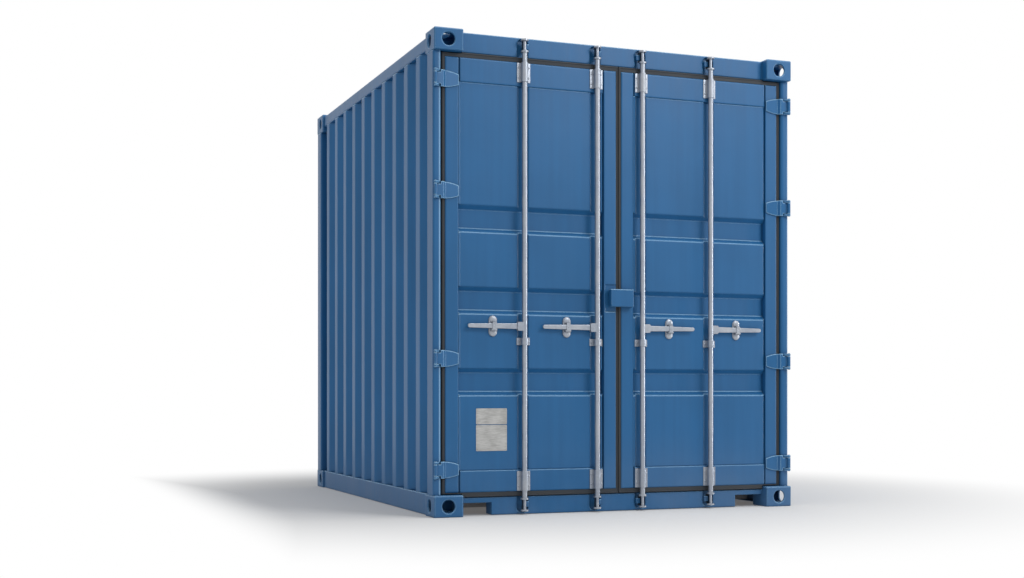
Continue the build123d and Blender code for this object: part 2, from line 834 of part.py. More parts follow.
# Handle seats: round-ended plates on the panel, with a shelf under each handle
seat_share = (seat_offset - handle_pivot) / (handle_reach - handle_tip_radius - handle_pivot)
handle_half_at_seat = handle_root_radius + seat_share * (handle_tip_radius - handle_root_radius)
shelf_top_z = handle_z - handle_half_at_seat - seat_gap
with BuildPart() as handle_seats:
    for x in (-outer_rod_x, -inner_rod_x):
        with BuildSketch(Plane.XZ.offset(-panel_y)):
            with Locations((x - seat_offset, handle_z)):
                SlotOverall(seat_height, seat_width, rotation=90)
        extrude(amount=seat_thickness)
        shelf_depth = panel_y - rod_y + handle_thickness / 2
        with Locations(
            (x - seat_offset, panel_y - shelf_depth / 2, shelf_top_z - shelf_thickness / 2),
        ):
            Box(shelf_width, shelf_depth, shelf_thickness)
save_both(handle_seats, "handle_seats")

# Lock box: a hood on the right door that reaches in front of the left door's stile
with BuildPart() as lock_box:
    middle_x = (lock_box_right - lock_box_left) / 2
    box_width = lock_box_right + lock_box_left
    with Locations((middle_x, door_y - lock_box_depth / 2, lock_box_low + lock_box_height / 2)):
        Box(box_width, lock_box_depth, lock_box_height)
    with Locations(
        (
            middle_x,
            door_y - (lock_box_depth - lock_box_sheet) / 2,
            lock_box_low + (lock_box_height - lock_box_sheet) / 2,
        )
    ):
        Box(
            box_width - 2 * lock_box_sheet,
            lock_box_depth - lock_box_sheet,
            lock_box_height - lock_box_sheet,
            mode=Mode.SUBTRACT,
        )
    with Locations(
        (
            (door_inner_x - lock_box_left) / 2,
            door_y - lock_box_gap / 2,
            lock_box_low + lock_box_height / 2,
        )
    ):
        Box(door_inner_x + lock_box_left, lock_box_gap, lock_box_height, mode=Mode.SUBTRACT)
save(lock_box.part, "lock_box")


def lock_rod(x):
    """One rod with its cams, hooks and handle clevis."""
    side = -1 if x < 0 else 1
    pivot_x = x + side * handle_pivot
    neck_levels = (bottom_cam_lift + cam_flange_height, rod_top_z - cam_flange_height - cam_neck_height)
    with BuildPart() as rod:
        with BuildSketch(Plane.XZ.offset(-rod_y)):
            with Locations((x + rod_radius / 2, (bottom_cam_lift + rod_top_z) / 2)):
                Rectangle(rod_radius, rod_top_z - bottom_cam_lift - 2 * cam_height)
            for low_z in neck_levels:
                with Locations((x + cam_neck_radius / 2, low_z + cam_neck_height / 2)):
                    Rectangle(cam_neck_radius, cam_neck_height)
                for flange_z in (low_z - cam_flange_height, low_z + cam_neck_height):
                    with Locations((x + cam_flange_radius / 2, flange_z + cam_flange_height / 2)):
                        Rectangle(cam_flange_radius, cam_flange_height)
        revolve(axis=Axis((x, rod_y, 0), (0, 0, 1)))
        direction = hook_direction[x]
        arm_x = x + direction * (hook_arm_lead - hook_arm_width)
        hook_y = rod_y + lip_from_rod + lip_thickness + running_gap
        for low_z in neck_levels:
            with BuildSketch(Plane.XY.offset(low_z)):
                with BuildLine():
                    Polyline(
                        (arm_x, rod_y),
                        (x + direction * hook_arm_lead, rod_y),
                        (x + direction * hook_arm_lead, hook_y),
                        (x + direction * hook_reach, hook_y),
                        (x + direction * hook_reach, rod_y + hook_reach),
                        (arm_x, rod_y + hook_reach),
                        close=True,
                    )
                make_face()
                with Locations((x, rod_y)):
                    Circle(hook_reach, mode=Mode.INTERSECT)
            extrude(amount=cam_neck_height)
        cheek_y = handle_thickness / 2 + handle_side_gap
        for low_y in (rod_y - cheek_y - cheek_thickness, rod_y + cheek_y):
            with BuildSketch(Plane.XZ.offset(-low_y)):
                with Locations((x + side * cheek_reach / 2, handle_z)):
                    RectangleRounded(cheek_reach, cheek_height, cheek_round)
            extrude(amount=-cheek_thickness)
        with BuildSketch(Plane.XZ.offset(-(rod_y - cheek_y))):
            with Locations((pivot_x, handle_z)):
                Circle(handle_pin_radius)
        extrude(amount=-2 * cheek_y)
    return rod.part


def handle(x):
    """One lever, which lifts on the pin of its rod's clevis."""
    side = -1 if x < 0 else 1
    with BuildPart() as lever:
        with BuildSketch(Plane.XZ.offset(-(rod_y - handle_thickness / 2))):
            with Locations((x + side * handle_pivot, handle_z)):
                Circle(handle_root_radius)
            with Locations((x + side * (handle_reach - handle_tip_radius), handle_z)):
                Circle(handle_tip_radius)
            make_hull()
            with Locations((x + side * handle_pivot, handle_z)):
                Circle(handle_pin_radius + pin_gap, mode=Mode.SUBTRACT)
        extrude(amount=-handle_thickness)
    return lever.part


# Lock rods and handles, numbered from the left
for number, x in enumerate(rod_places, start=1):
    save(lock_rod(x), f"lock_rod_{number}")
    save(handle(x), f"handle_{number}")
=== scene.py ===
import json
import math

import bmesh
import bpy
from mathutils import Matrix, Vector

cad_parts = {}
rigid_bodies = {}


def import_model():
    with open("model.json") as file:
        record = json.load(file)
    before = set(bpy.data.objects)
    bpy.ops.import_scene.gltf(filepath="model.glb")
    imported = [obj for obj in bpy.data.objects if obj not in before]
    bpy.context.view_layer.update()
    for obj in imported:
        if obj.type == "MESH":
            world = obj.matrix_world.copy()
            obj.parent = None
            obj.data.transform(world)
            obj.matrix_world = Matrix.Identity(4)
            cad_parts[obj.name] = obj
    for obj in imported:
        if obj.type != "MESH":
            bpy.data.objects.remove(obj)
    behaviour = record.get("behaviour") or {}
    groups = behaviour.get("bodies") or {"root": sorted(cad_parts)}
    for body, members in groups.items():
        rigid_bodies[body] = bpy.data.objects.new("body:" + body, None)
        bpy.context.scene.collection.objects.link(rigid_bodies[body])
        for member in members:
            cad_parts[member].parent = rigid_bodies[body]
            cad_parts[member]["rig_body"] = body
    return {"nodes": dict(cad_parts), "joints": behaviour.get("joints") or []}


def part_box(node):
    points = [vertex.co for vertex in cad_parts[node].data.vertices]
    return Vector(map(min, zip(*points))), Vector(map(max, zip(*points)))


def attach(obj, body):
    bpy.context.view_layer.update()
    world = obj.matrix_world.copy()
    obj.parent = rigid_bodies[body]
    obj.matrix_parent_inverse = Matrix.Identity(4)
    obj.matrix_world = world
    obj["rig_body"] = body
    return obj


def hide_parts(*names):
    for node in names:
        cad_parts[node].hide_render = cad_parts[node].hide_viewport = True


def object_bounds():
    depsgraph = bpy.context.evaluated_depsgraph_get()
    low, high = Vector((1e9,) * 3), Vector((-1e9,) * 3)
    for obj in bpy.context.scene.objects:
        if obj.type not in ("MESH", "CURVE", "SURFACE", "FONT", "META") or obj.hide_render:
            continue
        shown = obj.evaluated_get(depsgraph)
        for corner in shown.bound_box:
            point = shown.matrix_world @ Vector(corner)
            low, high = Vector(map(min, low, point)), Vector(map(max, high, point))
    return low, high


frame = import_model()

cad_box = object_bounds()
nodes = frame["nodes"]
scene = bpy.context.scene

# Camera: it stands low in front of the doors and to their left, held level, and its lens is shifted up
# to take in the whole height, as for a picture of a building.
camera_turn = -21.13
lens = bpy.data.cameras.new("camera")
lens.lens = 49.0
lens.sensor_width = 36.0
lens.shift_y = 0.100
camera = bpy.data.objects.new("camera", lens)
camera.location = (-3.748, -9.305, 0.746)
camera.rotation_euler = (math.radians(90), 0, math.radians(camera_turn))
scene.collection.objects.link(camera)
scene.camera = camera
scene.view_settings.view_transform = "Standard"


# Studio: a pale floor under an even white dome, with one large soft lamp overhead, one in front of the
# doors to their right, and a tall card at the right that only shows as a gleam along edges. The floor
# keeps the container's shadow, fades to white away from it, and is clear when seen from below.
class Signal:
    """A socket of a node tree. Arithmetic on it adds Math nodes, and node() adds any other node."""

    def __init__(self, tree, socket=None):
        self.tree = tree
        self.socket = socket

    def node(self, kind, settings=None, inputs=None, output=0):
        """Add a node, set its settings and then its sockets, and give one of its outputs."""
        made = self.tree.nodes.new(kind)
        for name, value in (settings or {}).items():
            setattr(made, name, value)
        for name, value in (inputs or {}).items():
            if isinstance(value, Signal):
                self.tree.links.new(value.socket, made.inputs[name])
            else:
                made.inputs[name].default_value = value
        return Signal(self.tree, made.outputs[output] if made.outputs else None)

    def math(self, operation, first, second=0.0):
        return self.node("ShaderNodeMath", {"operation": operation}, {0: first, 1: second})

    def __add__(self, other):
        return self.math("ADD", self, other)

    def __sub__(self, other):
        return self.math("SUBTRACT", self, other)

    def __rsub__(self, other):
        return self.math("SUBTRACT", other, self)

    def __mul__(self, other):
        return self.math("MULTIPLY", self, other)

    def __abs__(self):
        return self.math("ABSOLUTE", self)

    __radd__ = __add__
    __rmul__ = __mul__

    def larger(self, other):
        """The larger of two values."""
        return self.math("MAXIMUM", self, other)

    def along(self, axis):
        """One part of a vector: X, Y or Z."""
        return self.node("ShaderNodeSeparateXYZ", inputs={"Vector": self}, output=axis)

    def span(self, low, high):
        """Rise smoothly from 0 where this value is low to 1 where it is high."""
        return self.node(
            "ShaderNodeMapRange",
            {"interpolation_type": "SMOOTHSTEP"},
            {"Value": self, "From Min": low, "From Max": high},
        )

    def blend(self, first, second):
        """A colour that goes from first to second as this value goes from 0 to 1."""
        return self.node("ShaderNodeMix", {"data_type": "RGBA"}, {0: self, 6: first, 7: second}, output=2)

    def noise(self, scale, detail=3.0, stretch=(1, 1, 1)):
        """Noise on these coordinates, with this many features a metre, squeezed by the stretch."""
        squeezed = self.node("ShaderNodeMapping", inputs={"Vector": self, "Scale": stretch})
        return self.node("ShaderNodeTexNoise", inputs={"Vector": squeezed, "Scale": scale, "Detail": detail})


def new_material(name):
    """An empty material, and the object coordinates in its tree."""
    material = bpy.data.materials.new(name)
    material.use_nodes = True
    material.node_tree.nodes.clear()
    return material, Signal(material.node_tree).node("ShaderNodeTexCoord", output="Object")


def seen_directly(tree):
    """1 for rays that show the studio itself: to the camera, in a reflection or through a surface."""
    outputs = tree.node("ShaderNodeLightPath").socket.node.outputs
    kinds = ("Is Camera Ray", "Is Glossy Ray", "Is Transmission Ray")
    camera_ray, glossy_ray, transmission_ray = (Signal(tree.tree, outputs[kind]) for kind in kinds)
    return camera_ray.larger(glossy_ray.larger(transmission_ray))


white = (1, 1, 1, 1)
floor_half = 60.0
floor_bounce = (0.80, 0.80, 0.80, 1)
floor_tone = (0.73, 0.73, 0.73, 1)
shadow_fill = 0.10
fade_start = 2.0
fade_end = 4.3
left_fade_start = 1.9
left_fade_end = 2.5
dome_strength = 0.53

shape = bmesh.new()
bmesh.ops.create_grid(shape, x_segments=1, y_segments=1, size=floor_half)
floor_mesh = bpy.data.meshes.new("studio_floor")
shape.to_mesh(floor_mesh)
shape.free()
studio_floor = bpy.data.objects.new("studio_floor", floor_mesh)
scene.collection.objects.link(studio_floor)

floor_material, place = new_material("studio_floor")
bounce = place.node("ShaderNodeBsdfDiffuse", inputs={"Color": floor_bounce})
shadowed = place.node("ShaderNodeBsdfDiffuse", inputs={"Color": floor_tone})
glow = place.node("ShaderNodeEmission", inputs={"Color": white, "Strength": 1.0})
lit = place.node("ShaderNodeMixShader", inputs={0: shadow_fill, 1: bounce, 2: glow})
reach = place.node("ShaderNodeVectorMath", {"operation": "LENGTH"}, {0: place}, output="Value")
to_left = (place.along("X") * -1.0).span(left_fade_start, left_fade_end)
fade = shadow_fill + to_left.larger(reach.span(fade_start, fade_end)) * (1 - shadow_fill)
near = place.node("ShaderNodeMixShader", inputs={0: fade, 1: shadowed, 2: glow})
from_above = place.node("ShaderNodeMixShader", inputs={0: seen_directly(place), 1: lit, 2: near})
from_below = place.node("ShaderNodeBsdfTransparent")
below = place.node("ShaderNodeNewGeometry", output="Backfacing")
shown = place.node("ShaderNodeMixShader", inputs={0: below, 1: from_above, 2: from_below})
place.node("ShaderNodeOutputMaterial", inputs={"Surface": shown})
studio_floor.data.materials.append(floor_material)

world = bpy.data.worlds.new("white_dome")
world.use_nodes = True
world.node_tree.nodes.clear()
sky = Signal(world.node_tree)
dome = sky.node("ShaderNodeBackground", inputs={"Color": white, "Strength": dome_strength})
backdrop = sky.node("ShaderNodeBackground", inputs={"Color": white, "Strength": 1.0})
shown = sky.node("ShaderNodeMixShader", inputs={0: seen_directly(sky), 1: dome, 2: backdrop})
sky.node("ShaderNodeOutputWorld", inputs={"Surface": shown})
scene.world = world


def soft_lamp(name, place, target, width, height, power):
    """A rectangular lamp at a place, aimed at a target."""
    lamp = bpy.data.lights.new(name, "AREA")
    lamp.shape = "RECTANGLE"
    lamp.size = width
    lamp.size_y = height
    lamp.energy = power
    holder = bpy.data.objects.new(name, lamp)
    holder.location = place
    holder.rotation_euler = (Vector(target) - Vector(place)).to_track_quat("-Z", "Y").to_euler()
    scene.collection.objects.link(holder)
    return holder


soft_lamp("top_lamp", (0.9, -1.8, 8.5), (0.2, -0.6, 0), width=3.5, height=3.5, power=250.0)
soft_lamp("front_lamp", (3.3, -7.1, 5.5), (0, -1.3, 1.5), width=3.0, height=2.4, power=190.0)
edge_card = soft_lamp("edge_card", (6.2, -3.4, 1.8), (0, -1.4, 1.5), width=0.6, height=4.0, power=170.0)
edge_card.visible_diffuse = False


# Corner castings: eight hollow steel castings that carry the whole load, with a hole in each outer face
# for lifting gear and a long slot for the twist lock. Sand-cast, welded to the posts and painted over.
def linear(red, green, blue):
    """A colour written as on a screen, 0 to 255, as the shader's numbers."""
    return tuple(((part / 255 + 0.055) / 1.055) ** 2.4 for part in (red, green, blue)) + (1,)


def shaded(colour, factor):
    """The same colour, lighter or darker."""
    return tuple(min(1.0, part * factor) for part in colour[:3]) + (1,)


def finish_surface(place, inputs, height, strength, smooth=None):
    """End a material with one shader, whose surface is raised by a height in metres."""
    raised = {"Strength": strength, "Distance": 1.0, "Height": height}
    if smooth is not None:
        raised["Normal"] = smooth
    bump = place.node("ShaderNodeBump", inputs=raised)
    shader = place.node("ShaderNodeBsdfPrincipled", inputs={**inputs, "Normal": bump})
    place.node("ShaderNodeOutputMaterial", inputs={"Surface": shader})


sea_blue = linear(33, 97, 148)
# The pale blue of the painted highlights along edges.
edge_highlight_blue = linear(160, 208, 242)
road_dust = linear(148, 146, 140)
dust_height = 0.55
edge_radius = 0.011
occlusion_reach = 0.025
wave_height = 0.004


def painted(
    name,
    colour,
    grain_scale=420.0,
    grain_height=0.00022,
    side_highlight=0.08,
    highlight_axis=None,
    taper=0.0,
    gloss=0.32,
):
    """Sprayed gloss paint: uneven, streaked by rain, dusty near the ground, with painted highlights along
    edges.

    Edges are painted pale as a highlight, those that look upwards the most, and the side highlight is the
    part that the others get of it. Round corners that turn towards the highlight axis are painted pale as a
    highlight as well. Creases and corners are painted darker as shade. A taper shades the piece as if its
    face fell away towards the middle of the container.
    """
    material, place = new_material(name)
    mottle = place.noise(1.7, detail=5.0)
    streak = place.noise(1.0, detail=4.0, stretch=(26, 26, 0.9))
    speck = place.noise(60.0, detail=2.0)
    dust = (1 - place.along("Z").span(0.0, dust_height)) * mottle.span(0.30, 0.75)
    rounded = place.node("ShaderNodeBevel", {"samples": 8}, {"Radius": edge_radius})
    facing = place.node("ShaderNodeNewGeometry", output="Normal")
    agreement = place.node(
        "ShaderNodeVectorMath", {"operation": "DOT_PRODUCT"}, {0: rounded, 1: facing}, output="Value"
    )
    occlusion = place.node(
        "ShaderNodeAmbientOcclusion", {"samples": 4}, {"Distance": occlusion_reach}, output="AO"
    )
    # Painted highlight: edges, apart from those in creases, are made pale, most of all those that look
    # upwards.
    edge = (1 - agreement).span(0.003, 0.07) * occlusion.span(0.66, 0.94)
    edge = edge * (side_highlight + rounded.along("Z").span(0.02, 0.35) * (1 - side_highlight))
    if highlight_axis:
        lean = facing.along(highlight_axis)
        edge = edge.larger(lean.span(0.18, 0.50) * (0.6 - lean.span(0.60, 0.78) * 0.6))
    tone = (mottle * 0.6 + streak * 0.4).span(0.32, 0.68).blend(shaded(colour, 0.92), shaded(colour, 1.07))
    tone = (dust * 0.16).blend(tone, road_dust)
    # Painted shade: where the occlusion is low, in creases and corners, the colour is darkened.
    tone = ((1 - occlusion) * 0.4).blend(tone, shaded(colour, 0.4))
    tone = (edge * (0.75 + speck * 0.3)).blend(tone, edge_highlight_blue)
    peel = place.noise(grain_scale, detail=2.0) * grain_height + place.noise(3.1, detail=2.0) * wave_height
    if taper:
        peel = peel + abs(place.along("X")) * taper
    roughness = 0.34 + streak * 0.12 + dust * 0.25
    paint = {"Base Color": tone, "Roughness": roughness, "Specular IOR Level": gloss}
    finish_surface(place, paint, peel, strength=0.55, smooth=rounded)
    return material


sharp_turn = 40
softest_turn = 24
flat_turn = 0.5
merge_distance = 0.00002


def add_piece(name, shape, body, materials):
    """Make an object of a finished bmesh, which rides on a body and takes a slot's finish."""
    mesh = bpy.data.meshes.new(name)
    shape.to_mesh(mesh)
    shape.free()
    mesh.shade_smooth()
    mesh.set_sharp_from_angle(angle=math.radians(sharp_turn))
    piece = bpy.data.objects.new(name, mesh)
    scene.collection.objects.link(piece)
    for material in materials:
        mesh.materials.append(material)
    weighting = piece.modifiers.new("even_faces", "WEIGHTED_NORMAL")
    weighting.keep_sharp = True
    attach(piece, body)
    return piece


def whole_faces(name):
    """A copy of a CAD node's mesh, merged into whole faces."""
    shape = bmesh.new()
    shape.from_mesh(nodes[name].data)
    bmesh.ops.remove_doubles(shape, verts=shape.verts, dist=merge_distance)
    bmesh.ops.dissolve_limit(
        shape, angle_limit=math.radians(flat_turn), verts=shape.verts, edges=shape.edges
    )
    return shape


def ease_edges(shape, edges, width, segments, clamp=False):
    """Round edges off by a width."""
    bmesh.ops.bevel(
        shape,
        geom=edges,
        offset=width,
        offset_type="OFFSET",
        affect="EDGES",
        segments=segments,
        profile=0.5,
        material=-1,
        clamp_overlap=clamp,
    )


def eased(name, slot, *materials, width, segments=2, sharpest=180, inwards=None):
    """A copy of a CAD node with its edges eased by a width, which stands for the node.

    Edges that turn by more than the sharpest angle stay as they are. Faces that look inwards, where a
    direction is given, take the second material.
    """
    shape = whole_faces(name)
    least, most = math.radians(softest_turn), math.radians(sharpest)
    corners = [edge for edge in shape.edges if least < edge.calc_face_angle(0) <= most]
    ease_edges(shape, corners, width, segments, clamp=True)
    if inwards:
        for face in shape.faces:
            face.material_index = int(face.normal.dot(Vector(inwards)) > 0.2)
    piece = add_piece(f"{name}_finish", shape, nodes[name]["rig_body"], materials)
    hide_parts(name)
    return piece


# The castings' blue is a little darker than the doors' blue as painted shade, and more of their edges are
# painted pale as a highlight.
casting_paint = painted(
    "casting_paint", shaded(sea_blue, 0.98), grain_scale=170.0, grain_height=0.0011, side_highlight=0.4
)
for level in ("bottom", "top"):
    eased(f"{level}_corner_castings", "casting_paint", casting_paint, width=0.002)

# Posts: the uprights between the castings, rolled box sections of steel welded top and bottom. The corner
# beside each door is rolled to a wide radius, so it is grown outwards from its centre.
corner_centre = Vector((1.175, -1.4505))
corner_growth = 0.012
off_centre = 0.001
near_zero = 0.0001
blue_paint = painted("blue_paint", sea_blue)
# Round corners of the posts that turn towards +X are painted pale as a highlight.
post_paint = painted("post_paint", sea_blue, highlight_axis="X")
wide_centre = corner_centre + Vector((corner_growth, corner_growth))
for side, sign in (("left", -1), ("right", 1)):
    eased(f"{side}_rear_post", "blue_paint", blue_paint, width=0.001)
    post = eased(f"{side}_door_post", "blue_paint", post_paint, width=0.001)
    for vertex in post.data.vertices:
        spoke = Vector((vertex.co.x * sign, vertex.co.y)) - corner_centre
        if spoke.x < near_zero and spoke.y < near_zero and spoke.length > off_centre:
            grown = wide_centre + spoke + spoke.normalized() * corner_growth
            vertex.co.x = grown.x * sign
            vertex.co.y = grown.y

# Header and sill: folded steel channels above and below the doors, pocketed where the cams turn. The sill
# carries the threshold bar and has a cut-out beside each casting.
eased("door_header", "blue_paint", blue_paint, width=0.003)
eased("door_sill", "blue_paint", blue_paint, width=0.003)

# Rails: rolled steel tubes along the edges of the roof and folded channels along the floor, welded between
# the castings and painted with the rest.
for end in ("left", "right", "rear"):
    eased(f"{end}_top_rail", "blue_paint", blue_paint, width=0.001)
for end in ("left", "right", "rear"):
    eased(f"{end}_bottom_rail", "blue_paint", blue_paint, width=0.0015)


# Welds: hand-laid fillet beads of steel where the posts, the header and the sill meet the castings, each
# rippled along its run and painted over.
def join(shape, part, matrix):
    """Move a finished part into place and add it to a shape."""
    bmesh.ops.transform(part, matrix=matrix, verts=part.verts)
    mesh = bpy.data.meshes.new("part")
    part.to_mesh(mesh)
    part.free()
    shape.from_mesh(mesh)
    bpy.data.meshes.remove(mesh)


ripple_swell = 0.16


def bead(shape, start, end, radius, ripple=0.0):
    """Add a thin round bead from start to end, swollen at every ripple where a ripple length is given."""
    start, end = Vector(start), Vector(end)
    run = end - start
    rod = bmesh.new()
    bmesh.ops.create_cone(rod, cap_ends=True, segments=8, radius1=radius, radius2=radius, depth=run.length)
    if ripple:
        count = max(1, round(run.length / ripple))
        lengthways = [e for e in rod.edges if abs(e.verts[0].co.z - e.verts[1].co.z) > run.length / 2]
        bmesh.ops.subdivide_edges(rod, edges=lengthways, cuts=2 * count - 1, use_grid_fill=True)
        for vertex in rod.verts:
            swell = 1 - ripple_swell * math.cos(2 * math.pi * count * (vertex.co.z / run.length + 0.5))
            vertex.co.x *= swell
            vertex.co.y *= swell
    turn = run.to_track_quat("Z", "Y").to_matrix().to_4x4()
    join(shape, rod, Matrix.Translation((start + end) / 2) @ turn)


weld_radius = 0.003
weld_ripple = 0.007
weld_inset = 0.002
outer_corner = 0.012
inner_corner = outer_corner + corner_growth
cutout_top = 0.078
sill_face_top = 0.110
post_low, post_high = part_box("right_door_post")
header_low, header_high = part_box("door_header")
sill_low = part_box("door_sill")[0]
front_y, back_y = post_low.y, post_high.y
shape = bmesh.new()
for sign in (-1, 1):
    inner_x, outer_x = sign * (post_low.x + inner_corner), sign * (post_high.x - weld_inset)
    end_x = sign * header_high.x
    runs = []
    for z in (post_low.z, post_high.z):
        runs.append(((inner_x, front_y, z), (outer_x - sign * outer_corner, front_y, z)))
        runs.append(((outer_x, front_y + outer_corner, z), (outer_x, back_y - outer_corner, z)))
    runs.append(((end_x, header_low.y, header_low.z), (end_x, header_low.y, header_high.z)))
    runs.append(((end_x, sill_low.y, cutout_top), (end_x, sill_low.y, sill_face_top)))
    for start, end in runs:
        bead(shape, start, end, weld_radius, weld_ripple)
add_piece("casting_welds", shape, "frame", [blue_paint])

# Walls: corrugated sheet steel pressed from coil, welded all round to the posts and rails. The outside is
# blue, and the inside has the pale grey coat that most containers have there.
bend_limit = 75
# The walls' blue is painted 12% lighter than the doors' blue, as painted light on the side walls, and is less
# glossy.
lit_wall_paint = painted("lit_wall_paint", shaded(sea_blue, 1.12), gloss=0.23)
inside_paint = painted("inside_paint", linear(176, 180, 180))
sheet_paints = ("blue_paint", lit_wall_paint, inside_paint)
for wall, inwards in (("left_wall", (1, 0, 0)), ("right_wall", (-1, 0, 0)), ("rear_wall", (0, -1, 0))):
    eased(wall, *sheet_paints, width=0.009, segments=3, sharpest=bend_limit, inwards=inwards)

# Roof: one steel sheet with shallow troughs pressed across it, welded on top of the rails, blue above and
# pale grey below.
roof_paints = ("blue_paint", blue_paint, inside_paint)
eased("roof_panel", *roof_paints, width=0.008, segments=3, sharpest=bend_limit, inwards=(0, 0, -1))


# Underframe: folded steel cross members welded between the bottom rails, brushed with a thick pale grey
# coat.
def brushed_coat():
    """Underbody paint, thick, with brush marks and lumps."""
    material, place = new_material("underframe_coat")
    brush = place.noise(9.0, detail=5.0, stretch=(0.4, 2.5, 1.0))
    lump = place.noise(38.0, detail=3.0)
    tone = (brush * 0.7 + lump * 0.3).span(0.3, 0.7).blend(linear(150, 156, 162), linear(186, 190, 194))
    coat = {"Base Color": tone, "Roughness": 0.45 + lump * 0.3}
    finish_surface(place, coat, brush * 0.003 + lump * 0.001, strength=0.6)
    return material


eased("cross_members", "underframe_paint", brushed_coat(), width=0.0015)


# Floor: boards of hardwood plywood laid lengthways on the cross members and screwed down, with narrow
# joints between them.
def plywood():
    """Varnished plywood with long grain, darker rays and scuffs."""
    material, place = new_material("plywood")
    grain = place.noise(1.0, detail=6.0, stretch=(95, 2.2, 95))
    figure = place.noise(1.0, detail=4.0, stretch=(11, 0.8, 11))
    scuff = place.noise(6.0, detail=6.0).span(0.56, 0.70)
    tone = (grain * 0.6 + figure * 0.4).span(0.34, 0.66).blend(linear(112, 70, 44), linear(164, 116, 78))
    tone = (scuff * 0.3).blend(tone, linear(176, 158, 136))
    wood = {"Base Color": tone, "Roughness": 0.46 + scuff * 0.25}
    finish_surface(place, wood, grain * 0.0008, strength=0.5)
    return material


board_count = 4
joint_half = 0.003
joint_depth = 0.005
floor_low, floor_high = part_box("floor_boards")
board_width = (floor_high.x - floor_low.x) / board_count
shape = whole_faces("floor_boards")
for board in range(1, board_count):
    joint_x = floor_low.x + board * board_width
    for shift in (-joint_half, 0, joint_half):
        bmesh.ops.bisect_plane(
            shape,
            geom=shape.verts[:] + shape.edges[:] + shape.faces[:],
            plane_co=(joint_x + shift, 0, 0),
            plane_no=(1, 0, 0),
        )
    for vertex in shape.verts:
        if abs(vertex.co.x - joint_x) < joint_half / 2 and vertex.co.z > floor_high.z - joint_half:
            vertex.co.z -= joint_depth
boards = add_piece("floor_boards_finish", shape, "frame", [plywood()])
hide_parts("floor_boards")


# Floor screws: self-drilling zinc-plated screws with low domed heads, driven through the boards into the
# cross members, three to each board over each member.
def domed_head(radius, height):
    """A mesh of a low dome on a short rim, spun about Z, for a rivet, a screw or a pin."""
    head = bmesh.new()
    root, rim = -0.002, 0.2
    profile = [(radius, root), (radius, height * rim)]
    for turn in (22.5, 45, 67.5, 90):
        angle = math.radians(turn)
        profile.append((radius * math.cos(angle), height * (rim + (1 - rim) * math.sin(angle))))
    points = [head.verts.new((x, 0, z)) for x, z in profile]
    lines = [head.edges.new(pair) for pair in zip(points, points[1:])]
    bmesh.ops.spin(
        head, geom=points + lines, cent=(0, 0, 0), axis=(0, 0, 1), angle=2 * math.pi, steps=16, use_merge=True
    )
    bmesh.ops.remove_doubles(head, verts=head.verts, dist=0.00001)
    bmesh.ops.recalc_face_normals(head, faces=head.faces)
    mesh = bpy.data.meshes.new("head")
    head.to_mesh(mesh)
    head.free()
    return mesh


def set_heads(shape, head, places, outward):
    """Add a head at each place, standing on a face that looks outward."""
    turn = Vector(outward).to_track_quat("Z", "Y").to_matrix().to_4x4()
    for place in places:
        count = len(shape.verts)
        shape.from_mesh(head)
        shape.verts.ensure_lookup_table()
        bmesh.ops.transform(shape, matrix=Matrix.Translation(place) @ turn, verts=shape.verts[count:])


def galvanized(name, colour):
    """Hot-dipped zinc: a faint crystal spangle, pale bloom and a soft shine."""
    material, place = new_material(name)
    spangle = place.node(
        "ShaderNodeTexVoronoi", inputs={"Vector": place, "Scale": 95.0, "Randomness": 1.0}, output="Color"
    )
    crystal = place.node("ShaderNodeSeparateColor", inputs={0: spangle}, output=0)
    bloom = place.noise(7.0, detail=5.0).span(0.40, 0.75)
    run = place.noise(1.0, detail=3.0, stretch=(70, 70, 2.5))
    tone = (crystal * 0.4 + run * 0.6).span(0.2, 0.8).blend(shaded(colour, 0.93), shaded(colour, 1.06))
    tone = (bloom * 0.25).blend(tone, linear(206, 206, 204))
    coat = {
        "Base Color": tone,
        "Metallic": 0.7 - bloom * 0.25,
        "Roughness": 0.30 + crystal * 0.06 + bloom * 0.15,
    }
    finish_surface(place, coat, crystal * 0.00015 + run * 0.0003, strength=0.25)
    return material


zinc = galvanized("galvanized_steel", linear(152, 159, 170))
first_member_y = -1.0276
member_pitch = 0.30738
member_count = 8
screw_shares = (0.12, 0.5, 0.88)
screw_head = domed_head(radius=0.006, height=0.0015)
member_ys = [first_member_y + member_pitch * index for index in range(member_count)]
shape = bmesh.new()
for board in range(board_count):
    for share in screw_shares:
        screw_x = floor_low.x + (board + share) * board_width
        set_heads(shape, screw_head, [(screw_x, y, floor_high.z) for y in member_ys], (0, 0, 1))
add_piece("floor_screws", shape, "frame", [zinc])

# Hinge lugs: pairs of flame-cut steel plates with a pin between them, welded to the front of each door post.
# Like the blades, they take a blue that is 6% lighter than the doors' blue as painted light, and are painted
# pale along all their edges as a highlight.
lit_hinge_paint = painted(
    "lit_hinge_paint", shaded(sea_blue, 1.06), grain_scale=260.0, grain_height=0.0005, side_highlight=0.75, taper=0.45
)
for side in ("left", "right"):
    eased(f"{side}_hinge_lugs", "blue_paint", lit_hinge_paint, width=0.003)
hinge_levels = (0.280, 0.941, 1.939, 2.600)
hinge_half = 0.050
pin_head = domed_head(radius=0.0085, height=0.004)
shape = bmesh.new()
for hinge in [joint for joint in frame["joints"] if joint["name"].endswith("_door_hinge")]:
    pin_x, pin_y = hinge["pos_m"][:2]
    for way in (-1, 1):
        ends = [(pin_x, pin_y, level + way * hinge_half) for level in hinge_levels]
        set_heads(shape, pin_head, ends, (0, 0, way))
add_piece("hinge_pin_heads", shape, "frame", [lit_hinge_paint])

# Keepers: steel plates welded into the pockets of the header and the sill, whose lips hold the cams of the
# lock rods, painted with the frame.
for level in ("top", "bottom"):
    eased(f"{level}_keepers", "blue_paint", blue_paint, width=0.001)

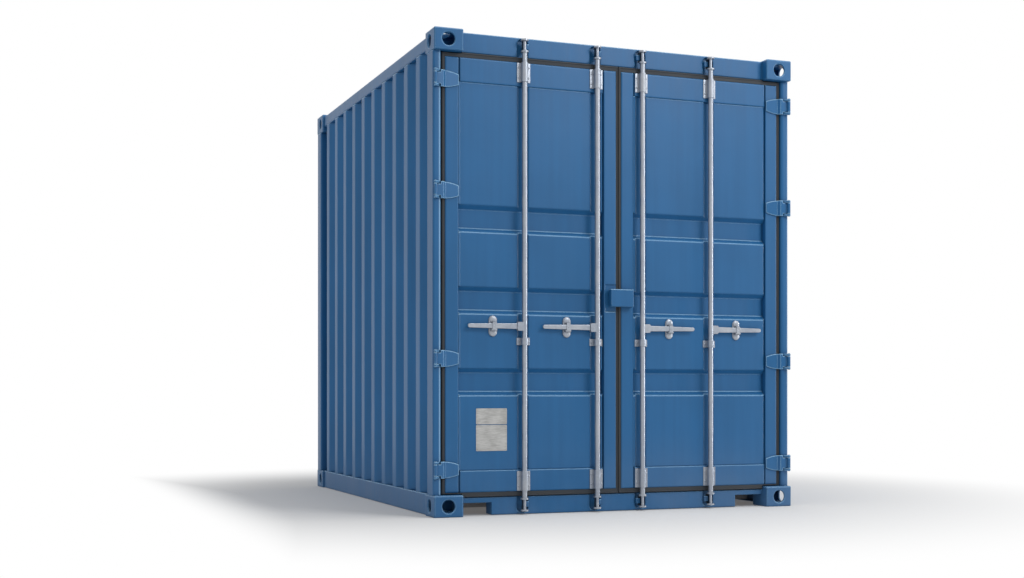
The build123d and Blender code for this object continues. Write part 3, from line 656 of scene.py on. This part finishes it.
# Doors: a welded frame of steel box section round a pressed panel with deep bands across it, blue outside
# and grey inside.
# Round corners of the panels that look upwards are painted pale as a highlight.
panel_paint = painted("panel_paint", sea_blue, highlight_axis="Z")
frame_paints = ("blue_paint", blue_paint, inside_paint)
panel_paints = ("blue_paint", panel_paint, inside_paint)
into_cargo = (0, 1, 0)
for side in ("left", "right"):
    eased(f"{side}_door_frame", *frame_paints, width=0.003, inwards=into_cargo)
    panel = f"{side}_door_panel"
    eased(panel, *panel_paints, width=0.007, segments=3, sharpest=bend_limit, inwards=into_cargo)

# Door seams: sealing compound laid along the left side of each panel's flats and painted over, which runs
# from the stile down to the panel.
panel_low, panel_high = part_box("right_door_panel")
band_edges = (panel_low.z, 0.7195, 0.8855, 1.2085, 1.3745, 1.6975, 1.8635, panel_high.z)
seam_profile = (
    (0.0001, -0.0040),
    (0.003, -0.0016),
    (0.008, -0.0006),
    (0.018, 0.0006),
    (0.004, 0.011),
    (0.0001, 0.011),
)
for side, seam_x in (("left", -panel_high.x), ("right", panel_low.x)):
    shape = bmesh.new()
    for low_z, high_z in zip(band_edges[::2], band_edges[1::2]):
        section = [shape.verts.new((seam_x + x, panel_low.y + y, low_z)) for x, y in seam_profile]
        raised = bmesh.ops.extrude_face_region(shape, geom=[shape.faces.new(section)])
        top = [part for part in raised["geom"] if isinstance(part, bmesh.types.BMVert)]
        bmesh.ops.translate(shape, vec=(0, 0, high_z - low_z), verts=top)
    bmesh.ops.recalc_face_normals(shape, faces=shape.faces)
    add_piece(f"{side}_door_seam", shape, f"{side}_door", [blue_paint])


# Data plate: two blank aluminium plates, one above the other, with round corners, held to the left door's
# panel by a rivet in each corner.
def plate_aluminium():
    """Pale aluminium with fine scratches along it and a little weathering."""
    material, place = new_material("plate_aluminium")
    scratch = place.noise(1.0, detail=4.0, stretch=(30, 30, 420))
    cloud = place.noise(14.0, detail=4.0)
    tone = (scratch * 0.6 + cloud * 0.4).span(0.36, 0.64).blend(linear(158, 158, 156), linear(190, 190, 188))
    metal = {"Base Color": tone, "Metallic": 0.25, "Roughness": 0.38 + cloud * 0.2}
    finish_surface(place, metal, scratch * 0.0003, strength=0.4)
    return material


def plate(shape, low, high, corner, rim):
    """Add a flat plate that faces the front, with round corners and an eased front rim."""
    low, high = Vector(low), Vector(high)
    size = high - low
    blank = bmesh.new()
    bmesh.ops.create_cube(blank, size=1.0, matrix=Matrix.Diagonal((*size, 1)))
    through = [e for e in blank.edges if abs(e.verts[0].co.y - e.verts[1].co.y) > size.y / 2]
    ease_edges(blank, through, corner, segments=4)
    front = [e for e in blank.edges if all(end.co.y < size.y * -0.49 for end in e.verts)]
    ease_edges(blank, front, rim, segments=2)
    join(shape, blank, Matrix.Translation((low + high) / 2))


plate_left, plate_right = -0.941, -0.743
plate_spans = ((0.388, 0.544), (0.548, 0.644))
plate_thickness = 0.002
plate_y = panel_low.y - plate_thickness
plate_corner = 0.005
rivet_inset = 0.010
plate_rivet = domed_head(radius=0.0035, height=0.002)
to_front = (0, -1, 0)
shape = bmesh.new()
for low_z, high_z in plate_spans:
    lower, upper = (plate_left, plate_y, low_z), (plate_right, panel_low.y, high_z)
    plate(shape, lower, upper, plate_corner, rim=0.0008)
    corners = [
        (x, plate_y, z)
        for x in (plate_left + rivet_inset, plate_right - rivet_inset)
        for z in (low_z + rivet_inset, high_z - rivet_inset)
    ]
    set_heads(shape, plate_rivet, corners, to_front)
add_piece("data_plates", shape, "left_door", [plate_aluminium()])


# Gaskets: extruded black rubber clamped round the edge of each door, with a raised lip along both sides,
# which seals against the posts, the header and the sill.
def rubber():
    """Matt weathered rubber, a little dusty."""
    material, place = new_material("gasket_rubber")
    bloom = place.noise(5.0, detail=5.0).span(0.35, 0.75)
    fine = place.noise(260.0, detail=2.0)
    tone = bloom.blend(linear(36, 41, 47), linear(50, 55, 61))
    finish_surface(place, {"Base Color": tone, "Roughness": 0.62 + bloom * 0.2}, fine * 0.0003, strength=0.5)
    return material


gasket_rubber = rubber()
for side in ("left", "right"):
    eased(f"{side}_door_gasket", "gasket_rubber", gasket_rubber, width=0.002)
gasket_low, gasket_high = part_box("right_door_gasket")
lip_inset = 0.006
lip_radius = 0.0035
step_x = 1.030
step_low_z, step_high_z = 0.142, 2.754
front_y = gasket_low.y
low_z, high_z = gasket_low.z + lip_inset, gasket_high.z - lip_inset
for side, sign in (("left", -1), ("right", 1)):
    shape = bmesh.new()
    outer_x, inner_x = sign * (gasket_high.x - lip_inset), sign * (gasket_low.x + lip_inset / 2)
    bead(shape, (outer_x, front_y, step_low_z), (outer_x, front_y, step_high_z), lip_radius)
    bead(shape, (inner_x, front_y, low_z), (inner_x, front_y, high_z), lip_radius)
    for z in (low_z, high_z):
        bead(shape, (inner_x, front_y, z), (sign * step_x, front_y, z), lip_radius)
    add_piece(f"{side}_gasket_lips", shape, f"{side}_door", [gasket_rubber])

# Hinge blades: cranked steel forgings that turn on the pins and are welded to the door's outer stile, with
# rounded edges from the die.
# The blades take the same lighter blue as painted light, with painted highlights along all their edges.
for side in ("left", "right"):
    eased(f"{side}_hinge_blades", "blue_paint", lit_hinge_paint, width=0.0035, segments=3)

# Rod brackets: galvanized steel straps bent over the lock rods and riveted through the door, wide ones at
# the top and the bottom and a narrow one below each handle.
for side in ("left", "right"):
    eased(f"{side}_rod_brackets", "galvanized_steel", zinc, width=0.0018)
rod_xs = (0.155, 0.638)
rivet_offset = 0.032
wide_y, wide_zs = -1.4545, (0.175, 0.234, 2.645, 2.706)
narrow_y, narrow_z = -1.4485, 1.048
bracket_rivet = domed_head(radius=0.0065, height=0.004)
for side, sign in (("left", -1), ("right", 1)):
    shape = bmesh.new()
    for rod_x in rod_xs:
        for shift in (-rivet_offset, rivet_offset):
            x = sign * rod_x + shift
            places = [(x, wide_y, z) for z in wide_zs] + [(x, narrow_y, narrow_z)]
            set_heads(shape, bracket_rivet, places, to_front)
    add_piece(f"{side}_bracket_rivets", shape, f"{side}_door", [zinc])

# Handle seats: round-ended galvanized plates riveted to the panels, each with a shelf that the handle rests
# on and a round boss above and below it.
for side in ("left", "right"):
    eased(f"{side}_handle_seats", "galvanized_steel", zinc, width=0.0022)
seat_reach = 0.197
seat_thickness = 0.006
seat_y = panel_low.y - seat_thickness
handle_z = 1.139
boss_rise = 0.040
boss = domed_head(radius=0.023, height=0.007)
for side, sign in (("left", -1), ("right", 1)):
    shape = bmesh.new()
    for rod_x in rod_xs:
        seat_x = sign * (rod_x + seat_reach)
        places = [(seat_x, seat_y, handle_z + rise) for rise in (-boss_rise, boss_rise)]
        set_heads(shape, boss, places, to_front)
    add_piece(f"{side}_seat_bosses", shape, f"{side}_door", [zinc])

# Lock box: a folded steel hood welded to the right door, which reaches over the left one and hides a
# padlock, painted with the doors.
eased("lock_box", "blue_paint", blue_paint, width=0.0018)


# Lock rods: thick-walled tubes with forged cams at both ends and a clevis for the handle, galvanized. The
# hooks that turn behind the keepers are dark with grease, in a dark blue-grey that also stands as painted
# shade for the pocket they turn in.
def greased_and_shaded():
    """Forged steel under a film of dirty grease, dark blue-grey as painted shade."""
    material, place = new_material("greased_and_shaded_forging")
    film = place.noise(30.0, detail=4.0).span(0.35, 0.70)
    tone = film.blend(linear(30, 46, 62), linear(52, 64, 76))
    steel = {"Base Color": tone, "Metallic": 0.3, "Roughness": 0.35 + film * 0.3}
    finish_surface(place, steel, place.noise(120.0) * 0.0006, strength=0.5)
    return material


grease_and_shade = greased_and_shaded()
hook_start = 0.010
cam_zone = 0.105
rod_y = -1.4705
rod_count = 4
for number in range(1, rod_count + 1):
    rod = eased(f"lock_rod_{number}", "galvanized_steel", zinc, grease_and_shade, width=0.0022)
    for face in rod.data.polygons:
        near_end = face.center.z < cam_zone or face.center.z > cad_box[1][2] - cam_zone
        face.material_index = int(near_end and face.center.y > rod_y + hook_start)

# Handles: forged and galvanized levers, which lift on the clevis pin, each with a small catch plate riveted
# on where it crosses its seat.
catch_half_width = 0.013
catch_half_height = 0.022
catch_thickness = 0.003
catch_sunk = 0.001
catch_rim = 0.001
for number, rod_x in enumerate(sorted(rod_xs + tuple(-x for x in rod_xs)), 1):
    name = f"handle_{number}"
    eased(name, "galvanized_steel", zinc, width=0.004, segments=3)
    lever_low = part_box(name)[0]
    seat_x = rod_x + math.copysign(seat_reach, rod_x)
    catch_y = lever_low.y - catch_thickness
    lower = (seat_x - catch_half_width, catch_y, handle_z - catch_half_height)
    upper = (seat_x + catch_half_width, lever_low.y + catch_sunk, handle_z + catch_half_height)
    shape = bmesh.new()
    plate(shape, lower, upper, plate_corner, catch_rim)
    set_heads(shape, plate_rivet, [(seat_x, catch_y, handle_z)], to_front)
    add_piece(f"{name}_catch", shape, name, [zinc])
